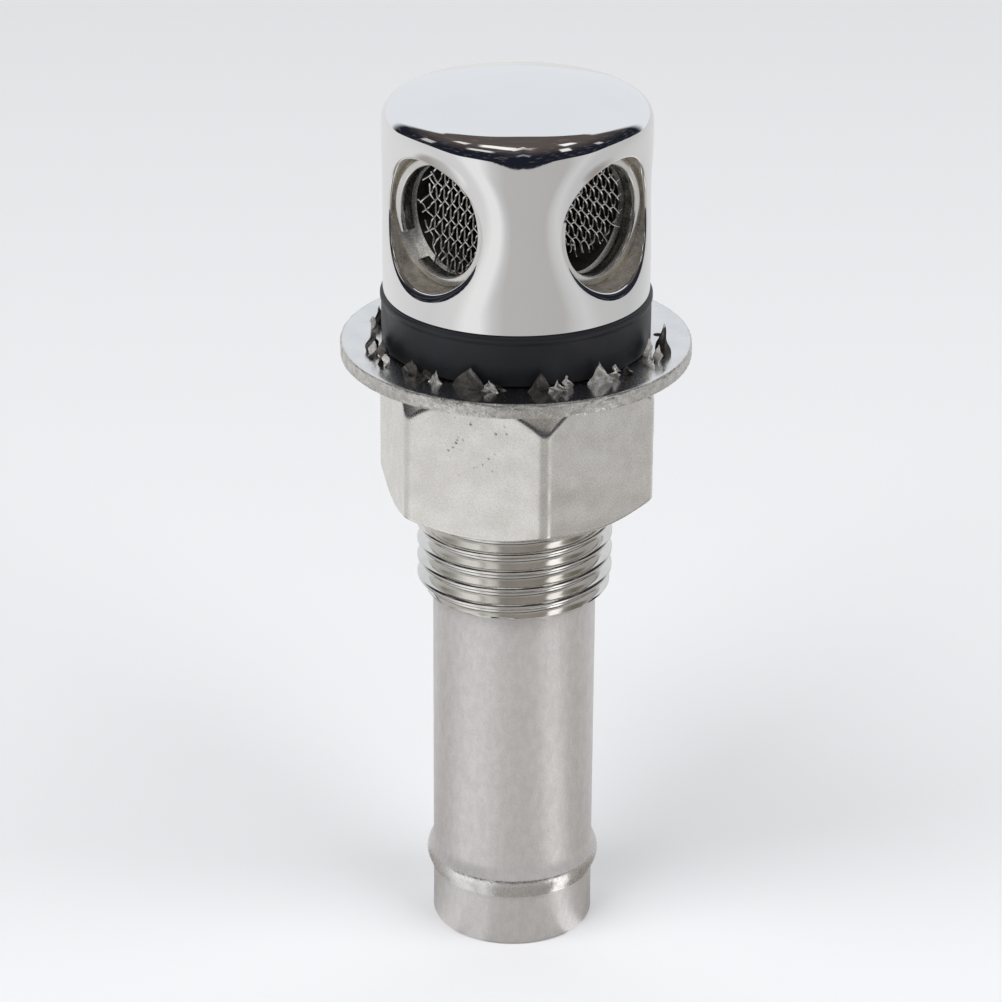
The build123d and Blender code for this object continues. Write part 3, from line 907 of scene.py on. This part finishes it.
def buildGasket():
    shell = newShell()
    around = np.linspace(0, 360, gasket["columns"], endpoint=False)[None, :]
    low, high, wide, lip, bore = (gasket[key] for key in ("bottom", "top", "radius", "lipRadius", "bore"))
    # profile from the bore's foot out, up the side, over the lip and back to the bore, as radius and height
    profile = [(bore, low), (wide - 0.3, low), (wide - 0.09, low + 0.09), (wide, low + 0.3), (wide, low + 2.2),
               (wide, high - 1.0), (wide + 0.02, high - 0.8), (lip - 0.03, high - 0.66), (lip, high - 0.5),
               (lip, high - 0.22), (lip - 0.05, high - 0.07), (lip - 0.2, high), (12.2, high), (bore, high),
               (bore, low)]
    radii, levels = np.array(profile).T[:, :, None]
    uneven = wander(around, levels, gasket["seed"], gasket["unevenness"]) - 0.03
    radii = radii + np.where(radii > wide - 0.2, uneven, 0)
    addGrid(shell, roundPoint(around, radii, levels))
    finishShell("rubberGasket", shell, ("rubber",), "fitting", ["gasket"], sharp=50)


buildGasket()

washer = {
    "bottom": 61.15,
    "thickness": 1.45,
    "radius": 16.84,
    "bore": 9.845,
    "edgeRound": 0.22,
    "count": 13,
    "firstAzimuth": 10.5,
    "holeCircle": 13.6,
    "holeRadius": 0.45,
    "drag": (0.22, 0.45, 0.3, 1.4),  # dent round a hole: height, reach, shares above and below
    "nick": (0.03, 0.05),  # roughness of the sheared rim, and how far it lies back
    "clear": 13.05,  # the torn leaves keep outside the gasket
    "farSites": (4, 10),
    "leafFoot": 0.12,
    "leafThick": (0.15, 0.012),
    "seed": 31,
}
leafRows = [
    # azimuth, radius, height, width, turn, crumple, and the finish: 1 lit copy with painted highlights, 3 shaded
    # copy with painted shade
    (-19.0, 13.35, 2.0, 3.7, 4, 0.35, 3),
    (-9.8, 13.8, 0.9, 1.9, 20, 1.6, 1),
    (-7.0, 13.5, 0.6, 1.6, -15, 1.2, 3),
    (9.0, 13.35, 1.7, 2.4, -12, 0.4, 3),
    (16.0, 13.9, 0.9, 2.2, 12, 1.8, 1),
    (20.0, 13.6, 1.1, 1.5, -30, 1.5, 1),
    (34.5, 13.7, 1.95, 2.5, 22, 0.7, 1),
    (42.0, 13.6, 1.1, 2.2, -15, 1.7, 1),
    (48.0, 13.8, 0.8, 1.6, 10, 1.5, 3),
    (61.0, 14.1, 2.1, 3.0, -55, 1.5, 1),
    (66.0, 14.5, 1.3, 2.0, -35, 1.7, 1),
    (75.0, 14.3, 2.5, 2.6, -60, 0.8, 3),
    (-33.0, 13.8, 1.1, 1.4, -10, 1.2, 1),
    (-38.0, 13.5, 0.9, 2.4, 5, 1.3, 3),
    (-45.0, 13.5, 1.4, 3.4, 8, 1.1, 3),
    (-59.0, 14.2, 0.9, 1.5, 40, 1.4, 1),
    (-64.0, 13.9, 1.7, 3.2, 50, 1.3, 3),
    (-70.0, 14.3, 1.2, 2.2, 62, 1.6, 1),
    (-77.0, 13.9, 1.8, 2.6, 50, 1.0, 3),
]
farLeaves = [
    # for each far site: azimuth from it, radius, ranges of the height, width and turn, crumple and finish
    (-4, 13.5, (1.4, 2.0), (1.6, 2.6), (-25, 25), 0.5, 3),
    (4, 13.6, (0.9, 1.3), (1.3, 1.9), (-25, 25), 1.5, 1),
]


def addLeaf(shell, azimuth, radius, height, width, turn, crumple, finish, random):
    # a torn leaf: its width shrinks with a power of the height, it leans, curls with the square of the distance
    # across and crumples in sine waves, and its two skins meet at the edges
    rise = np.linspace(0, 1, 13)[:, None]
    across = np.linspace(-1, 1, 11)[None, :]
    taper = (1 - rise**1.2) * (1 + crumple * 0.10 * np.sin(rise * 8 + random.uniform(0, 6))) + 0.02
    lean = random.uniform(-0.05, 0.3) * rise**1.4
    curl = 0.28 * (across**2 - 0.4) * random.uniform(0.3, 1.2)
    wrinkle = crumple * 0.24 * np.sin(across * 4 + rise * 7 + random.uniform(0, 6)) * np.sin(rise * 3)
    thick, edge = washer["leafThick"]
    thick = thick * (1 - 0.75 * rise) * np.sqrt(np.clip(1 - across**2, 0, 1)) + edge
    sway = random.uniform(-0.25, 0.25) * rise**1.5
    sideways = width / 2 * across * taper + sway
    torn = 1 - 0.12 * crumple * np.sin(across * 3 + random.uniform(0, 6)) * rise
    foot = washer["bottom"] + washer["thickness"] - washer["leafFoot"]
    level = foot + (height + washer["leafFoot"]) * rise * torn
    direction = math.radians(turn)
    skins = []
    for side in (1, -1):
        skin = lean + curl + wrinkle + side * thick
        localSide = sideways * math.cos(direction) - skin * math.sin(direction)
        localOut = sideways * math.sin(direction) + skin * math.cos(direction)
        points = portPoint(azimuth, localSide, level, radius + localOut * 0.8)
        reach = np.hypot(points[..., 0], points[..., 1])
        points[..., :2] *= (np.maximum(reach, washer["clear"]) / reach)[..., None]
        addGrid(shell, points, finish, wrap=False)
        skins.append(points)
    first, second = skins
    for edge in (np.s_[0, :], np.s_[-1, :], np.s_[:, 0], np.s_[:, -1]):
        addGrid(shell, np.stack([first[edge], second[edge]]), finish, wrap=False)


def buildWasher():
    shell = newShell()
    half = 180 / washer["count"]
    low, high = washer["bottom"], washer["bottom"] + washer["thickness"]
    inner, outer, curve = washer["bore"], washer["radius"], washer["edgeRound"]
    turns = np.linspace(-half, half, 15)
    borderTurns, borderRadii = patchBorder(turns, np.linspace(inner, outer - curve, 11))
    circle, hole = washer["holeCircle"], washer["holeRadius"]
    borderAcross = borderRadii * np.sin(np.radians(borderTurns))
    borderOut = borderRadii * np.cos(np.radians(borderTurns)) - circle
    angles = np.arctan2(borderOut, borderAcross)
    share = np.linspace(0, 1, 9)[:, None] ** 1.2
    across = hole * np.cos(angles) + (borderAcross - hole * np.cos(angles)) * share
    outward = circle + hole * np.sin(angles) + (borderOut - hole * np.sin(angles)) * share
    # plate: straight rows from each hole to its patch's border, above and below, dragged in round the hole
    dragHeight, dragReach, dragTop, dragUnder = washer["drag"]
    drag = dragHeight * np.exp(-((np.hypot(across, outward - circle) - hole) / dragReach))
    fade = np.clip((1 - share) * 3, 0, 1)
    wallRows = np.linspace(0, 1, 4)[:, None, None]
    random = np.random.default_rng(washer["seed"])
    sites = [washer["firstAzimuth"] + site * 2 * half for site in range(washer["count"])]
    for azimuth in sites:
        topSkin = portPoint(azimuth, across, high - drag * fade * dragTop, outward)
        underSkin = portPoint(azimuth, across, low + drag * fade * dragUnder, outward)
        addGrid(shell, topSkin)
        addGrid(shell, underSkin)
        # the hole's wall in the darker leaf steel: painted shade in the hole
        addGrid(shell, topSkin[0] + (underSkin[0] - topSkin[0]) * wallRows, 3)
    around = np.concatenate([azimuth + turns[:-1] for azimuth in sites])[None, :]
    # rough sheared rim: a half superellipse with a fine random wander
    edgeTurns = np.radians(np.linspace(90, -90, 13))[:, None]
    bulge = np.abs(np.cos(edgeTurns)) ** 0.6
    roughness, back = washer["nick"]
    facing = np.clip(np.cos(edgeTurns), 0, 1)
    nick = random.normal(0, roughness, (13, around.shape[1])) * facing - back * facing
    rimRadii = outer - curve + curve * bulge + nick
    lift = np.sign(np.sin(edgeTurns)) * np.abs(np.sin(edgeTurns)) ** 0.6
    rimLevels = (low + high) / 2 + washer["thickness"] / 2 * lift
    rimRadii[0] = rimRadii[-1] = outer - curve
    addGrid(shell, roundPoint(around, np.minimum(rimRadii, outer), rimLevels), 2)
    addProfile(shell, around, [(inner, high), (inner, low)])
    for row in leafRows:
        addLeaf(shell, *row, random)
    for azimuth in sites[slice(*washer["farSites"])]:
        for shift, radius, heights, widths, leafTurns, crumple, finish in farLeaves:
            height, width, turn = random.uniform(*heights), random.uniform(*widths), random.uniform(*leafTurns)
            addLeaf(shell, azimuth + shift, radius, height, width, turn, crumple, finish, random)
    finishes = ("plateSteel", "litLeafSteel", "rimSteel", "shadedLeafSteel")
    finishShell("toothedPlate", shell, finishes, "washer", ["toothed_washer"], sharp=32)


buildWasher()

nut = {
    "bottom": 46.5,
    "height": 14.65,
    "flats": 24.3,
    "firstCorner": 11.64,
    "topRadius": 11.9,
    "topBevel": 3.45,
    "bottomRadius": 12.0,
    "bottomBevel": 1.2,
    "bore": 9.605,
    "boreBevel": 0.7,
    "wornCorner": 0.8,
    "wornBevel": 0.28,
    "unevenness": 0.035,
    "columns": 56,
    "rows": (24, 18, 64),  # over the bottom bevel, the middle and the top bevel
    "bands": (1.6, 3.9),  # heights of the bands of closer rows
    "seed": 41,
}


def buildNut():
    shell = newShell()
    share = np.linspace(-1, 1, nut["columns"] + 1)[:-1]
    turn = 30 * (1.35 * share - 0.35 * share**3)  # columns crowd towards the corners
    around = np.concatenate([nut["firstCorner"] + 30 + 60 * face + turn for face in range(6)])[None, :]
    fromFace = np.radians(np.tile(turn, 6))[None, :]
    low, high = nut["bottom"], nut["bottom"] + nut["height"]
    lowBand, highBand = low + nut["bands"][0], high - nut["bands"][1]
    lowRows, middleRows, highRows = nut["rows"]
    levels = np.concatenate([np.linspace(low, lowBand, lowRows), np.linspace(lowBand, highBand, middleRows)[1:],
                             np.linspace(highBand, high, highRows)[1:]])[:, None]
    # radius: two neighbouring flats, then the cones of the top and bottom bevels, each joined by a soft minimum
    flat = nut["flats"] / 2
    corner = flat / math.cos(math.radians(30))
    side = softMinimum(flat / np.cos(fromFace), flat / np.cos(np.pi / 3 - np.abs(fromFace)), nut["wornCorner"])
    topCone = nut["topRadius"] + (high - levels) * (corner - nut["topRadius"]) / nut["topBevel"]
    bottomCone = nut["bottomRadius"] + (levels - low) * (corner - nut["bottomRadius"]) / nut["bottomBevel"]
    radius = softMinimum(softMinimum(side + 0 * levels, topCone, nut["wornBevel"]), bottomCone, nut["wornBevel"])
    dents = wander(around, levels, nut["seed"], nut["unevenness"]) - 0.02
    radius = radius + dents * np.clip((levels - low) / 0.5, 0, 1) * np.clip((high - levels) / 0.5, 0, 1)
    addGrid(shell, roundPoint(around, radius, levels))
    bore, bevel = nut["bore"], nut["boreBevel"]
    for edge, way in ((low, 1), (high, -1)):
        outer = radius[0 if way == 1 else -1]
        rings = np.stack([outer, outer * 0 + bore + bevel, outer * 0 + bore])
        addGrid(shell, roundPoint(around, rings, np.array([edge, edge, edge + way * bevel])[:, None]))
    addProfile(shell, around, [(bore, low + bevel), (bore, high - bevel)])
    finishShell("hexNut", shell, ("nutSteel",), "nut", ["hex_nut"], sharp=50)


buildNut()
